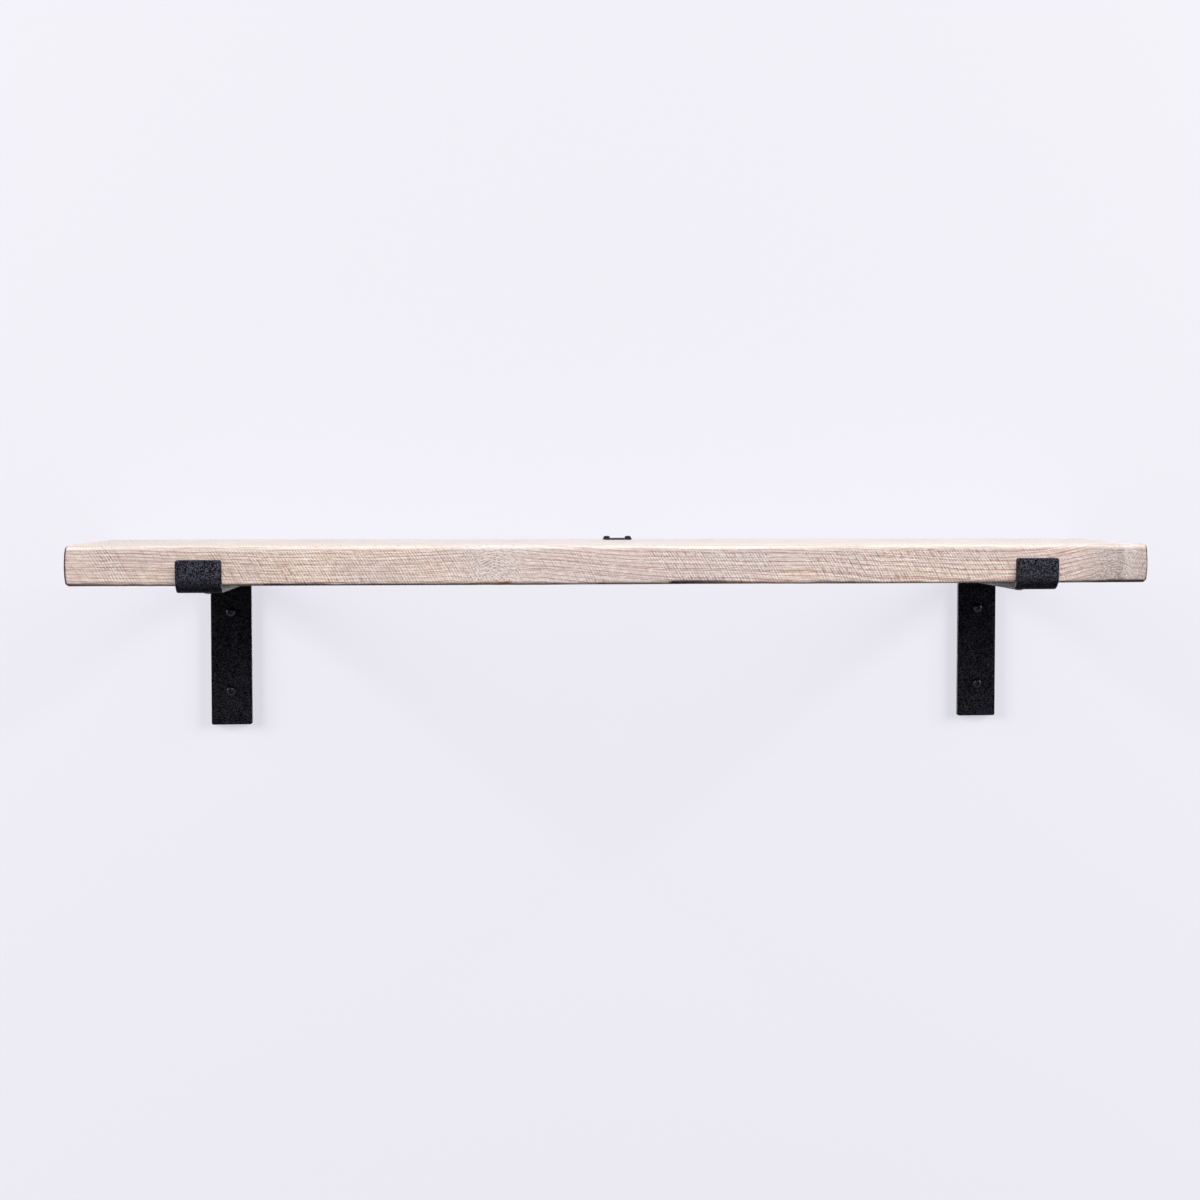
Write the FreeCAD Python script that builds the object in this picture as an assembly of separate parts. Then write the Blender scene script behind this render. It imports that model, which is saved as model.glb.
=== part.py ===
import FreeCAD, Part
import math
import os

# Wall shelf: a thick softwood board on two bent flat-bar brackets.
#
# Lengths are millimetres. X runs along the shelf to the right, Y into the wall and Z up.
# The wall's face is Y = 0, so the board and the brackets lie in front of it at negative Y.
# The origin is the middle of the rectangle that the four wall screws make on the wall.

# Board
BOARD_LENGTH = 1000.0
BOARD_DEPTH = 200.0
BOARD_THICKNESS = 37.0
BOARD_ARRIS_RADIUS = 4.0

# How far the board runs past the middle of each bracket
BOARD_LEFT_OVERHANG = 119.0
BOARD_RIGHT_OVERHANG = 111.0

# Brackets, each one strip of flat bar bent twice
BAR_WIDTH = 40.0
BAR_THICKNESS = 6.0
BEND_INNER_RADIUS = 8.0
LIP_HEIGHT = 30.0
LEG_DROP = 150.0
BAR_CORNER_RADIUS = 2.0
BAR_EDGE_BREAK = 0.6

# Wall screws, two through each leg: the upper one below the board, the lower one above the leg's end
WALL_SCREW_TOP_INSET = 36.0
WALL_SCREW_END_INSET = 34.0
WALL_SCREW = {
    "head_diameter": 10.0,
    "head_height": 3.6,
    "crown_diameter": 6.4,
    "rim_height": 1.4,
    "shank_diameter": 5.0,
    "shank_length": 50.0,
}
WALL_SCREW_NECK_DIAMETER = 3.8

# Arm screws, two up through each arm into the board
ARM_SCREW_INSET = 50.0
ARM_SCREW = {
    "head_diameter": 10.0,
    "head_height": 3.6,
    "crown_diameter": 6.4,
    "rim_height": 1.4,
    "shank_diameter": 4.5,
    "shank_length": 30.0,
}

# Small plate on top of the board, near the wall and a little right of the board's middle
PLATE_LENGTH = 29.0
PLATE_WIDTH = 12.0
PLATE_THICKNESS = 1.6
PLATE_CORNER_RADIUS = 3.0
PLATE_WALL_GAP = 24.0
PLATE_OFFSET = 7.0
PLATE_SCREW_SPACING = 21.5
PLATE_SCREW = {
    "head_diameter": 6.4,
    "head_height": 2.4,
    "crown_diameter": 3.4,
    "rim_height": 0.8,
    "shank_diameter": 3.5,
    "shank_length": 16.0,
}

# Fits
HOLE_CLEARANCE = 0.3
FACE_CLEARANCE = 0.3
END_CLEARANCE = 1.0
CUT_OVERRUN = 1.0
MATCH_TOLERANCE = 0.001

# Levels and places that follow from the sizes above
WALL_SCREW_SPACING = LEG_DROP - WALL_SCREW_TOP_INSET - WALL_SCREW_END_INSET
LEG_END_Z = -WALL_SCREW_SPACING / 2 - WALL_SCREW_END_INSET
BOARD_UNDERSIDE_Z = LEG_END_Z + LEG_DROP
BOARD_TOP_Z = BOARD_UNDERSIDE_Z + BOARD_THICKNESS
ARM_UNDERSIDE_Z = BOARD_UNDERSIDE_Z - BAR_THICKNESS
LIP_TOP_Z = ARM_UNDERSIDE_Z + LIP_HEIGHT
BRACKET_SPACING = BOARD_LENGTH - BOARD_LEFT_OVERHANG - BOARD_RIGHT_OVERHANG
BOARD_LEFT_X = -BRACKET_SPACING / 2 - BOARD_LEFT_OVERHANG

# The lip stands far enough off the board's front for the rounded lower arris to clear the bend
LIP_GAP = max(BEND_INNER_RADIUS - BOARD_ARRIS_RADIUS, FACE_CLEARANCE)
LIP_BACK_Y = -BOARD_DEPTH - LIP_GAP

BRACKET_PLACES = {"left": -BRACKET_SPACING / 2, "right": BRACKET_SPACING / 2}
WALL_SCREW_PLACES = {"upper": WALL_SCREW_SPACING / 2, "lower": -WALL_SCREW_SPACING / 2}
ARM_SCREW_PLACES = {"front": -BOARD_DEPTH + ARM_SCREW_INSET, "rear": -ARM_SCREW_INSET}
PLATE_CENTRE_X = BOARD_LEFT_X + BOARD_LENGTH / 2 + PLATE_OFFSET
PLATE_CENTRE_Y = -PLATE_WALL_GAP - PLATE_WIDTH / 2
PLATE_SCREW_PLACES = {
    "left": PLATE_CENTRE_X - PLATE_SCREW_SPACING / 2,
    "right": PLATE_CENTRE_X + PLATE_SCREW_SPACING / 2,
}

X_AXIS = FreeCAD.Vector(1, 0, 0)
Y_AXIS = FreeCAD.Vector(0, 1, 0)
Z_AXIS = FreeCAD.Vector(0, 0, 1)


def rounded_face(corners):
    """Return the flat face inside straight sides whose corners, (point, radius) pairs, are arcs."""
    starts = []
    ends = []
    for index, (corner, radius) in enumerate(corners):
        before = (corners[index - 1][0] - corner).normalize()
        after = (corners[(index + 1) % len(corners)][0] - corner).normalize()
        half_angle = before.getAngle(after) / 2
        reach = radius / math.tan(half_angle)
        starts.append(corner + before * reach)
        ends.append(corner + after * reach)
    edges = []
    for index, (corner, radius) in enumerate(corners):
        if radius > 0:
            inward = ((starts[index] + ends[index]) / 2 - corner).normalize()
            half_angle = (starts[index] - corner).getAngle(inward)
            middle = corner + inward * (radius / math.sin(half_angle) - radius)
            edges.append(Part.Arc(starts[index], middle, ends[index]).toShape())
        following = starts[(index + 1) % len(corners)]
        edges.append(Part.makeLine(ends[index], following))
    return Part.Face(Part.Wire(edges))


def along_axis(shape, place, axis):
    """Turn a shape made along +Z so that it runs along an axis, and put its origin at a place."""
    placed = shape.copy()
    placed.Placement = FreeCAD.Placement(place, FreeCAD.Rotation(Z_AXIS, axis))
    return placed


def screw(sizes):
    """Return a pan-head screw: its head stands on the XY plane, upwards, and its shank hangs below."""
    crown_radius = sizes["crown_diameter"] / 2
    head_radius = sizes["head_diameter"] / 2
    shank_radius = sizes["shank_diameter"] / 2
    half_profile = [
        (0, sizes["head_height"]),
        (crown_radius, sizes["head_height"]),
        (head_radius, sizes["rim_height"]),
        (head_radius, 0),
        (shank_radius, 0),
        (shank_radius, -sizes["shank_length"]),
        (0, -sizes["shank_length"]),
    ]
    outline = rounded_face([(FreeCAD.Vector(radius, 0, height), 0) for radius, height in half_profile])
    return outline.revolve(FreeCAD.Vector(0, 0, 0), Z_AXIS, 360)


def wall_screw():
    """Return a wall screw: the shank inside the bar is a bare neck, thinner than over the thread."""
    neck_start = FreeCAD.Vector(0, 0, -BAR_THICKNESS)
    neck = Part.makeCylinder(WALL_SCREW_NECK_DIAMETER / 2, BAR_THICKNESS, neck_start, Z_AXIS)
    around = Part.makeCylinder(WALL_SCREW["shank_diameter"] / 2, BAR_THICKNESS, neck_start, Z_AXIS)
    return screw(WALL_SCREW).cut(around.cut(neck))


def screw_hole(sizes, depth):
    """Return the hole for a screw's shank, from just above its head's seat to a depth below it."""
    radius = sizes["shank_diameter"] / 2 + HOLE_CLEARANCE
    return Part.makeCylinder(radius, depth + CUT_OVERRUN, FreeCAD.Vector(0, 0, -depth), Z_AXIS)


def blind_hole(sizes):
    """Return the hole in the board for the whole of a screw's shank, clear of its end."""
    return screw_hole(sizes, sizes["shank_length"] + END_CLEARANCE)


def wall_screw_seat(centre_x, screw_z):
    """Return where a wall screw's head sits on the front of a leg."""
    return FreeCAD.Vector(centre_x, -BAR_THICKNESS, screw_z)


def arm_screw_seat(centre_x, screw_y):
    """Return where an arm screw's head sits under an arm."""
    return FreeCAD.Vector(centre_x, screw_y, ARM_UNDERSIDE_Z)


def plate_screw_seat(screw_x):
    """Return where a plate screw's head sits on the small plate."""
    return FreeCAD.Vector(screw_x, PLATE_CENTRE_Y, BOARD_TOP_Z + PLATE_THICKNESS)


def shelf_board():
    """Return the plank with every arris rounded and the blind holes for the screws that enter it."""
    corner = FreeCAD.Vector(BOARD_LEFT_X, -BOARD_DEPTH, BOARD_UNDERSIDE_Z)
    plank = Part.makeBox(BOARD_LENGTH, BOARD_DEPTH, BOARD_THICKNESS, corner)
    plank = plank.makeFillet(BOARD_ARRIS_RADIUS, plank.Edges)
    holes = []
    for bracket_x in BRACKET_PLACES.values():
        for screw_y in ARM_SCREW_PLACES.values():
            holes.append(along_axis(blind_hole(ARM_SCREW), arm_screw_seat(bracket_x, screw_y), -Z_AXIS))
    for screw_x in PLATE_SCREW_PLACES.values():
        holes.append(along_axis(blind_hole(PLATE_SCREW), plate_screw_seat(screw_x), Z_AXIS))
    return plank.cut(holes)


def bar_profile(side_x):
    """Return the bent bar's side face: leg down the wall, arm under the board, lip up its front."""
    outer_radius = BEND_INNER_RADIUS + BAR_THICKNESS
    corners = [
        (0, LEG_END_Z, 0),
        (0, BOARD_UNDERSIDE_Z, outer_radius),
        (LIP_BACK_Y, BOARD_UNDERSIDE_Z, BEND_INNER_RADIUS),
        (LIP_BACK_Y, LIP_TOP_Z, 0),
        (LIP_BACK_Y - BAR_THICKNESS, LIP_TOP_Z, 0),
        (LIP_BACK_Y - BAR_THICKNESS, ARM_UNDERSIDE_Z, outer_radius),
        (-BAR_THICKNESS, ARM_UNDERSIDE_Z, BEND_INNER_RADIUS),
        (-BAR_THICKNESS, LEG_END_Z, 0),
    ]
    return rounded_face([(FreeCAD.Vector(side_x, y, z), radius) for y, z, radius in corners])


def bar_end_corners(bar):
    """Return the four short edges, all along Y, at the corners of the bar's two cut ends."""
    ends = (LEG_END_Z, LIP_TOP_Z)
    return [
        edge for edge in bar.Edges
        if edge.BoundBox.ZLength < MATCH_TOLERANCE and edge.BoundBox.XLength < MATCH_TOLERANCE
        and min(abs(edge.BoundBox.ZMin - end_z) for end_z in ends) < MATCH_TOLERANCE
    ]


def bar_side_edges(bar, centre_x):
    """Return the long edges of the bar, which bound its two flat side faces."""
    return [
        edge for edge in bar.Edges
        if edge.BoundBox.XLength < MATCH_TOLERANCE
        and abs(abs(edge.BoundBox.XMin - centre_x) - BAR_WIDTH / 2) < MATCH_TOLERANCE
    ]


def bracket(centre_x):
    """Return one bracket: the bent bar with eased corners and edges and its four screw holes."""
    bar = bar_profile(centre_x - BAR_WIDTH / 2).extrude(X_AXIS * BAR_WIDTH)
    bar = bar.makeFillet(BAR_CORNER_RADIUS, bar_end_corners(bar))
    bar = bar.makeChamfer(BAR_EDGE_BREAK, bar_side_edges(bar, centre_x))
    depth = BAR_THICKNESS + CUT_OVERRUN
    holes = []
    for screw_z in WALL_SCREW_PLACES.values():
        seat = wall_screw_seat(centre_x, screw_z)
        holes.append(along_axis(screw_hole(WALL_SCREW, depth), seat, -Y_AXIS))
    for screw_y in ARM_SCREW_PLACES.values():
        seat = arm_screw_seat(centre_x, screw_y)
        holes.append(along_axis(screw_hole(ARM_SCREW, depth), seat, -Z_AXIS))
    return bar.cut(holes)


def rear_plate():
    """Return the small plate that lies on the board, with its two screw holes."""
    half_length = PLATE_LENGTH / 2
    half_width = PLATE_WIDTH / 2
    corners = [(-half_length, -half_width), (half_length, -half_width),
               (half_length, half_width), (-half_length, half_width)]
    outline = rounded_face([
        (FreeCAD.Vector(PLATE_CENTRE_X + x, PLATE_CENTRE_Y + y, BOARD_TOP_Z), PLATE_CORNER_RADIUS)
        for x, y in corners
    ])
    plate = outline.extrude(Z_AXIS * PLATE_THICKNESS)
    hole = screw_hole(PLATE_SCREW, PLATE_THICKNESS + CUT_OVERRUN)
    places = PLATE_SCREW_PLACES.values()
    return plate.cut([along_axis(hole, plate_screw_seat(screw_x), Z_AXIS) for screw_x in places])


def bracket_screws(side, centre_x):
    """Return the named screws of one bracket, each with its head's underside on the bar."""
    screws = {}
    for level, screw_z in WALL_SCREW_PLACES.items():
        seat = wall_screw_seat(centre_x, screw_z)
        screws[f"wall_screw_{side}_{level}"] = along_axis(wall_screw(), seat, -Y_AXIS)
    for end, screw_y in ARM_SCREW_PLACES.items():
        seat = arm_screw_seat(centre_x, screw_y)
        screws[f"arm_screw_{side}_{end}"] = along_axis(screw(ARM_SCREW), seat, -Z_AXIS)
    return screws


def plate_screws():
    """Return the two named screws that hold the small plate down."""
    screws = {}
    for side, screw_x in PLATE_SCREW_PLACES.items():
        screws[f"plate_screw_{side}"] = along_axis(screw(PLATE_SCREW), plate_screw_seat(screw_x), Z_AXIS)
    return screws


def all_pieces():
    """Return every piece of the shelf by name."""
    pieces = {"shelf_board": shelf_board(), "rear_plate": rear_plate()}
    pieces.update(plate_screws())
    for side, centre_x in BRACKET_PLACES.items():
        pieces[f"bracket_{side}"] = bracket(centre_x)
        pieces.update(bracket_screws(side, centre_x))
    return pieces


os.makedirs("parts", exist_ok=True)
for name, shape in all_pieces().items():
    shape.exportStep(f"parts/{name}.step")
    box = shape.BoundBox
    print(f"{name}: {len(shape.Solids)} solid, valid {shape.isValid()}, "
          f"{box.XLength:.1f} x {box.YLength:.1f} x {box.ZLength:.1f} mm")
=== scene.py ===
# %% [markdown]
# # A limed plank on two bent flat-bar brackets
#
# The real object is a wall shelf: a thick sawn softwood plank that rests on two arms of flat steel bar.
# Each bar is bent twice, down the wall at the back and up over the front of the plank as a short lip.
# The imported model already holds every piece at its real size. This script only dresses it: it swaps the
# plain solids for finer meshes in the same places and gives each of them the finish of the real material.

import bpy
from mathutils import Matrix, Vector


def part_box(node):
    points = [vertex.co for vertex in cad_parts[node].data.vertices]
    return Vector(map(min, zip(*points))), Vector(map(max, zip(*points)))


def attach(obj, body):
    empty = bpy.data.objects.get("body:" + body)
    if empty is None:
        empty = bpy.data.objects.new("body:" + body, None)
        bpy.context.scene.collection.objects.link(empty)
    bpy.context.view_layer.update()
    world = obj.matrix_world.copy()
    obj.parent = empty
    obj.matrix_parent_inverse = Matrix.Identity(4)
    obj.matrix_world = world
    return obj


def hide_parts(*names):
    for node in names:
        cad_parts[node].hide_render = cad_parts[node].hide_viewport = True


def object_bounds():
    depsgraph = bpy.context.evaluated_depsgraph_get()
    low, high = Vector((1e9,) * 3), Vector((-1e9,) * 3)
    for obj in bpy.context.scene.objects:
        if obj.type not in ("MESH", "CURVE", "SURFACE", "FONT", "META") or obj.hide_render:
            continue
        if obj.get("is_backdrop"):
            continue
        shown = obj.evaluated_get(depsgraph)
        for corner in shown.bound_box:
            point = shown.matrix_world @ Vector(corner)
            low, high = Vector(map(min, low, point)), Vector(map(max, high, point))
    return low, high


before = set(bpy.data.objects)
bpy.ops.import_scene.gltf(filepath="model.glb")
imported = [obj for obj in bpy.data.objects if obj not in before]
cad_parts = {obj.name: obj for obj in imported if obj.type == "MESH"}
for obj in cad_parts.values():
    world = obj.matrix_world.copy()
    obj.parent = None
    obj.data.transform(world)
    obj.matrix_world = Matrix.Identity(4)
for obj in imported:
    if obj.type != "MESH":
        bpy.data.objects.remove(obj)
cad_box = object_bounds()
print("Pieces in the packed model:", ", ".join(sorted(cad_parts)))

# %% Tools and units
import math

import bmesh
import bpy
import numpy as np
from mathutils import Matrix, Vector

MM = 0.001
TURN = 2 * math.pi
print("Lengths below are millimetres, and one Blender unit is", 1 / MM, "of them")

# %% [markdown]
# ## The camera
#
# A camera was fitted to the straight edges in the photograph: its place, its heading and its focal length
# in pixels, which the share of the picture's width that it spans turns into millimetres. The lens's middle
# isn't the picture's, because the picture was cropped, and the lens shift puts that back.

# %% Camera
PHOTO_SIDE_PX = 1200
FOCAL_PX = 1745.85
LENS_AXIS_PX = (670, 560)
CAMERA_PLACE = (-132.0, -1797.9, 161.5)
CAMERA_YAW = 0.10648
CAMERA_PITCH = 0.03903
CAMERA_ROLL = 0.00157
SENSOR_WIDTH = 36

camera_data = bpy.data.cameras.new("camera")
camera_data.sensor_width = SENSOR_WIDTH
camera_data.lens = FOCAL_PX / PHOTO_SIDE_PX * SENSOR_WIDTH
camera_data.shift_x = 0.5 - LENS_AXIS_PX[0] / PHOTO_SIDE_PX
camera_data.shift_y = LENS_AXIS_PX[1] / PHOTO_SIDE_PX - 0.5
camera = bpy.data.objects.new("camera", camera_data)
bpy.context.scene.collection.objects.link(camera)
heading = Matrix.Rotation(-CAMERA_YAW, 4, "Z")
tilt = Matrix.Rotation(TURN / 4 - CAMERA_PITCH, 4, "X")
roll = Matrix.Rotation(CAMERA_ROLL, 4, "Z")
camera.matrix_world = Matrix.Translation(Vector(CAMERA_PLACE) * MM) @ heading @ tilt @ roll
bpy.context.scene.camera = camera
print("Lens:", round(camera_data.lens, 2), "mm")

# %% [markdown]
# ## Colours and nodes
#
# Colours are easiest to judge as a colour picker's hex values, which are sRGB. Blender's sockets want
# linear values, so one function turns them. One more adds a node, sets its properties and fills its inputs.

# %% Helpers for materials
def linear(hex_colour):
    """Turn an sRGB hex colour into the linear values that a colour socket takes."""
    channels = [int(hex_colour[start:start + 2], 16) / 255 for start in (1, 3, 5)]
    return [c / 12.92 if c <= 0.04045 else ((c + 0.055) / 1.055) ** 2.4 for c in channels] + [1.0]


def add(tree, kind, inputs, **settings):
    """Add a node with its properties, and fill its inputs with values or with links from other nodes."""
    node = tree.nodes.new("ShaderNode" + kind)
    for name, value in settings.items():
        setattr(node, name, value)
    for key, value in inputs.items():
        in_use = [socket for socket in node.inputs if socket.enabled]
        place = key if isinstance(key, int) else [socket.name for socket in in_use].index(key)
        if isinstance(value, bpy.types.Node):
            value = next(socket for socket in value.outputs if socket.enabled)
        if isinstance(value, bpy.types.NodeSocket):
            tree.links.new(value, in_use[place])
        else:
            in_use[place].default_value = value
    return node


def new_material(name):
    """Make an empty node material and return it with its node tree."""
    material = bpy.data.materials.new(name)
    material.use_nodes = True
    material.node_tree.nodes.clear()
    return material, material.node_tree


print("Mid grey #808080 is", round(linear("#808080")[0], 3), "in linear light")

# %% [markdown]
# ## Putting a piece in the scene
#
# Every new mesh stands for one solid of the imported model. It rides on that solid's body, takes the finish
# that it is given, and hides the solid. Its vertices are already in place.

# %% Helpers for pieces
def place_piece(name, mesh, node, material):
    """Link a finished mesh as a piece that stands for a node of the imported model."""
    mesh.name = name
    mesh.materials.clear()
    mesh.materials.append(material)
    piece = bpy.data.objects.new(name, mesh)
    bpy.context.scene.collection.objects.link(piece)
    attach(piece, "root")
    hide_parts(node)
    return piece


def node_box(node):
    """Return a node's lowest and highest corner in millimetres."""
    low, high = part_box(node)
    return np.array(low) / MM, np.array(high) / MM


board_low, board_high = node_box("shelf_board")
print("The plank measures", (board_high - board_low).round(1), "mm")

# %% [markdown]
# ## The plank's shape
#
# A real plank is never a perfect box: its arrises are worn by hand sanding, more in some places than in
# others, and its faces carry the saw's waves. A bevel modifier gives one even rounding. So the box is made
# as a fine grid, and each point is drawn towards the corner's arc, whose radius wanders along the plank.

# %% Grid over a box
CELL_ALONG = 2.0
CELL_ACROSS = 2.5
CELL_THICK = 1.4
ARRIS_ZONE = 5.0
ARRIS_CELLS = 5


def stops(low, high, cell):
    """Return the grid's stops along one side: close together at both arrises, even between them."""
    zone = np.linspace(0, ARRIS_ZONE, ARRIS_CELLS + 1)
    count = round((high - low - 2 * ARRIS_ZONE) / cell)
    middle = np.linspace(low + ARRIS_ZONE, high - ARRIS_ZONE, count + 1)
    return np.concatenate([low + zone[:-1], middle, high - zone[:-1][::-1]])


def surface_grid(counts):
    """Return the grid indices and the quads of a box's skin, whose sides have that many cells."""
    quads = []
    around = ((0, 0), (1, 0), (1, 1), (0, 1))
    for axis in range(3):
        first = (axis + 1) % 3
        second = (axis + 2) % 3
        i, j = np.meshgrid(range(counts[first]), range(counts[second]), indexing="ij")
        for end in (0, counts[axis]):
            quad = np.zeros((i.size, 4, 3), int)
            quad[:, :, axis] = end
            for corner, (step_i, step_j) in enumerate(around if end else around[::-1]):
                quad[:, corner, first] = i.ravel() + step_i
                quad[:, corner, second] = j.ravel() + step_j
            quads.append(quad)
    rows = np.concatenate(quads).reshape(-1, 3)
    indices, places = np.unique(rows, axis=0, return_inverse=True)
    return indices, places.reshape(-1, 4)


cells = (CELL_ALONG, CELL_ACROSS, CELL_THICK)
side_stops = [stops(low, high, cell) for low, high, cell in zip(board_low, board_high, cells)]
indices, plank_quads = surface_grid([len(side) - 1 for side in side_stops])
box_points = np.stack([side_stops[axis][indices[:, axis]] for axis in range(3)], axis=1)
x, y, z = box_points.T
print("The plank's skin has", len(plank_quads), "cells")

# %% [markdown]
# ## Smooth noise for shapes
#
# Wear and saw waves need noise that can be measured in millimetres. Adding many waves with random
# directions gives that. A noise is written here as three things: how far it stays alike along X, Y and Z,
# the seed of its random draws, and its strength.

# %% Noise from waves
WAVE_COUNT = 28


def waves(lengths, seed, strength=1.0):
    """Return smooth noise on the plank's points, mostly within its strength above and below 0."""
    draw = np.random.default_rng(seed)
    directions = draw.normal(size=(WAVE_COUNT, 3)) / np.array(lengths)
    phases = draw.uniform(0, TURN, WAVE_COUNT)
    return strength * (np.cos(box_points @ directions.T * 2 + phases).sum(axis=1) / math.sqrt(WAVE_COUNT))


def bump(values, centre, reach):
    """Return a soft hill, 1 at the centre and fading over the reach."""
    return np.exp(-((values - centre) / reach) ** 2)


def window(values, start, end, soft):
    """Return 1 between start and end and 0 outside, with soft edges."""
    rise = np.clip((values - start) / soft + 0.5, 0, 1)
    fall = np.clip((end - values) / soft + 0.5, 0, 1)
    return rise * fall


print("Noise sample:", waves((50, 50, 50), 1)[:3].round(2))

# %% [markdown]
# ## Saw marks
#
# A band saw leaves slanted, slightly curved scratches across the plank, in groups a few fingers wide with
# calmer wood between. One number says which scratch a point lies on, and another how strongly the saw
# marked that place. The shape and the material are made from the same two numbers, so that they agree.
# Each group's row says where it starts and ends along the plank, and how strong it is.

# %% Saw marks
SAW_LEAN_SHARE = 0.72
SAW_BEND_PER_MM = 0.0035
SAW_TOP_LEAN_SHARE = 0.22
SAW_GROUPS = ((-489, -463, 0.7), (-395, -330, 0.45), (-345, -262, 0.75), (-262, -144, 0.6),
              (-60, -30, 0.3), (18, 60, 1.0), (60, 126, 0.8), (158, 250, 0.85), (250, 345, 1.0),
              (365, 402, 0.5))
SAW_GROUP_SOFT = 16
FAINT_MARKS_SHARE = 0.35
OTHER_MARKS_SHARE = 0.5
OTHER_MARKS = ((90, 400, 400), 3, 0.6)
SEAM_X = 468
END_MARKS_SHARE = 0.9
FRONT_REACH = 12
FRONT_FADE = 10

depth_below_top = board_high[2] - z
saw_slant = SAW_LEAN_SHARE * depth_below_top - SAW_BEND_PER_MM * depth_below_top ** 2
past_seam = x > SEAM_X
behind_front = y - board_low[1]
saw_path = x + np.where(past_seam, saw_slant, -saw_slant)
saw_path += SAW_TOP_LEAN_SHARE * behind_front
front_marks = sum(strength * window(saw_path, start, end, SAW_GROUP_SOFT)
                  for start, end, strength in SAW_GROUPS)
front_marks = np.where(past_seam, END_MARKS_SHARE, np.clip(FAINT_MARKS_SHARE + front_marks, 0, 1))
other_marks = np.clip(OTHER_MARKS_SHARE + waves(*OTHER_MARKS), 0, 1)
near_front = np.clip((board_low[1] + FRONT_REACH - y) / FRONT_FADE, 0, 1)
saw_depth = near_front * front_marks + (1 - near_front) * other_marks
print("Share of the plank that the saw marked:", round(float((saw_depth > 0.5).mean()), 2))

# %% [markdown]
# ## Growth rings
#
# Grain is a tree's rings cut by the faces of the plank. The rings are tubes round the pith, the heart of
# the trunk, which here lies below the plank, so that the edge shows lines along it and the top the
# pointed figure of flat-sawn wood. Branches push the rings outwards: the edge has a knot left of its
# middle and one at its right end. A point's distance from the pith, with these pushes, tells its ring.

# %% Growth rings
PITH_Y = -84
PITH_Z = 4
PITH_CLIMB_SHARE = 0.014
PITH_DRIFT_SHARE = 0.03
RING_WIDTH = 5.0
RING_DRIFT = ((170, 40, 40), 5, 1.1)
RING_RIPPLE = ((48, 14, 14), 6, 0.45)
KNOTS = ({"x": -122, "z": 77, "core": 31, "swirl": 1.6, "arch_x": -95, "arch": 5.5, "arch_reach": 75},
         {"x": 464, "z": 72, "core": 24, "swirl": 1.2, "arch_x": 464, "arch": 9.5, "arch_reach": 58})
KNOT_DEPTH = 70
SWIRL_SIZE = (8, 16, 14)
FIRST_SWIRL_SEED = 11
BRANCH_RIPPLE = ((9, 20, 9), 15, 0.8)

from_pith_y = y - PITH_Y - PITH_DRIFT_SHARE * x
from_pith_z = z - PITH_Z - PITH_CLIMB_SHARE * x
ring_radius = np.hypot(from_pith_y, from_pith_z)
ring_radius += waves(*RING_DRIFT) + waves(*RING_RIPPLE)
depth_fade = bump(behind_front, 0, KNOT_DEPTH)
knot_nearness = np.zeros(len(box_points))
branch_ring = np.zeros(len(box_points))
for seed, knot in enumerate(KNOTS, FIRST_SWIRL_SEED):
    ring_radius -= knot["arch"] * bump(x, knot["arch_x"], knot["arch_reach"]) * depth_fade
    core = bump(x, knot["x"], knot["core"]) * depth_fade
    ring_radius += knot["swirl"] * core * waves(SWIRL_SIZE, seed)
    from_branch = np.hypot(x - knot["x"], z - knot["z"]) + waves(*BRANCH_RIPPLE)
    branch_ring = np.where(core > knot_nearness, from_branch, branch_ring)
    knot_nearness = np.maximum(knot_nearness, core)
around_pith = np.arctan2(from_pith_y, from_pith_z) * ring_radius.mean()
print("Rings across the plank:", round(float(np.ptp(ring_radius)) / RING_WIDTH))

# %% [markdown]
# ## Wear and relief
#
# The maker brushed and sanded the sawn plank by hand. The radius of its arrises wanders between two
# limits, splinters have broken out of the lower front arris, and the ends are sanded a little
# barrel-shaped. Each splinter's row says where it starts, where it thins out, how deep it goes, how brown
# the painted shade on its rounder underside is and how tan it is. Every point only moves inwards, so that
# the plank keeps within its real size.

# %% Wear and relief
ARRIS_RADIUS = 3.4
ARRIS_DRIFT = ((70, 90, 60), 21, 0.7)
ARRIS_RIPPLE = ((14, 20, 30), 22, 0.35)
ARRIS_LIMITS = (2.2, 6.5)
SPLINTERS = ((-330, -170, 0.3, 0.9, 0), (-107, -165, 1.8, 0.1, 1.0), (38, 130, 1.0, 1.0, 0),
             (-28, -12, 0.8, 0.7, 0), (205, 214, 1.4, 0.2, 0.6), (500, 400, 0.4, 1.0, 0),
             (-510, -478, 0.5, 1.0, 0))
SPLINTER_STEP = 1.5
SPLINTER_REACH = 8
END_BARREL = 1.3
END_REACH = 14
WAVE_DEPTH = 0.16
WAVE_CHANGE = ((140, 60, 30), 23, 0.5)
SAW_RELIEF = 0.10
SAW_WAVE = 5.4
SAW_WAVE_WANDER = ((30, 60, 60), 24, 2)
GRAIN_RELIEF = 0.07


def splinter(start, end):
    """Return 1 just past the start of a splintered stretch, thinning out to 0 at its end."""
    along = (x - start) / (end - start)
    broken = np.clip((x - start) * np.sign(end - start) / SPLINTER_STEP, 0, 1)
    return broken * np.clip(1 - along, 0, 1)


radius = ARRIS_RADIUS + waves(*ARRIS_DRIFT) + waves(*ARRIS_RIPPLE)
low_front = bump(behind_front, 0, SPLINTER_REACH) * bump(z, board_low[2], SPLINTER_REACH)
splinter_shade = np.zeros(len(box_points))
fresh = np.zeros(len(box_points))
# Painted shade: where a splinter leaves the arris rounder, its down-facing side is darkened brown.
for start, end, depth, brown, tan in SPLINTERS:
    stretch = splinter(start, end) * low_front
    radius += depth * stretch
    splinter_shade = np.maximum(splinter_shade, stretch * brown)
    fresh = np.maximum(fresh, stretch * tan)
radius = np.clip(radius, *ARRIS_LIMITS)[:, None]

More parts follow.
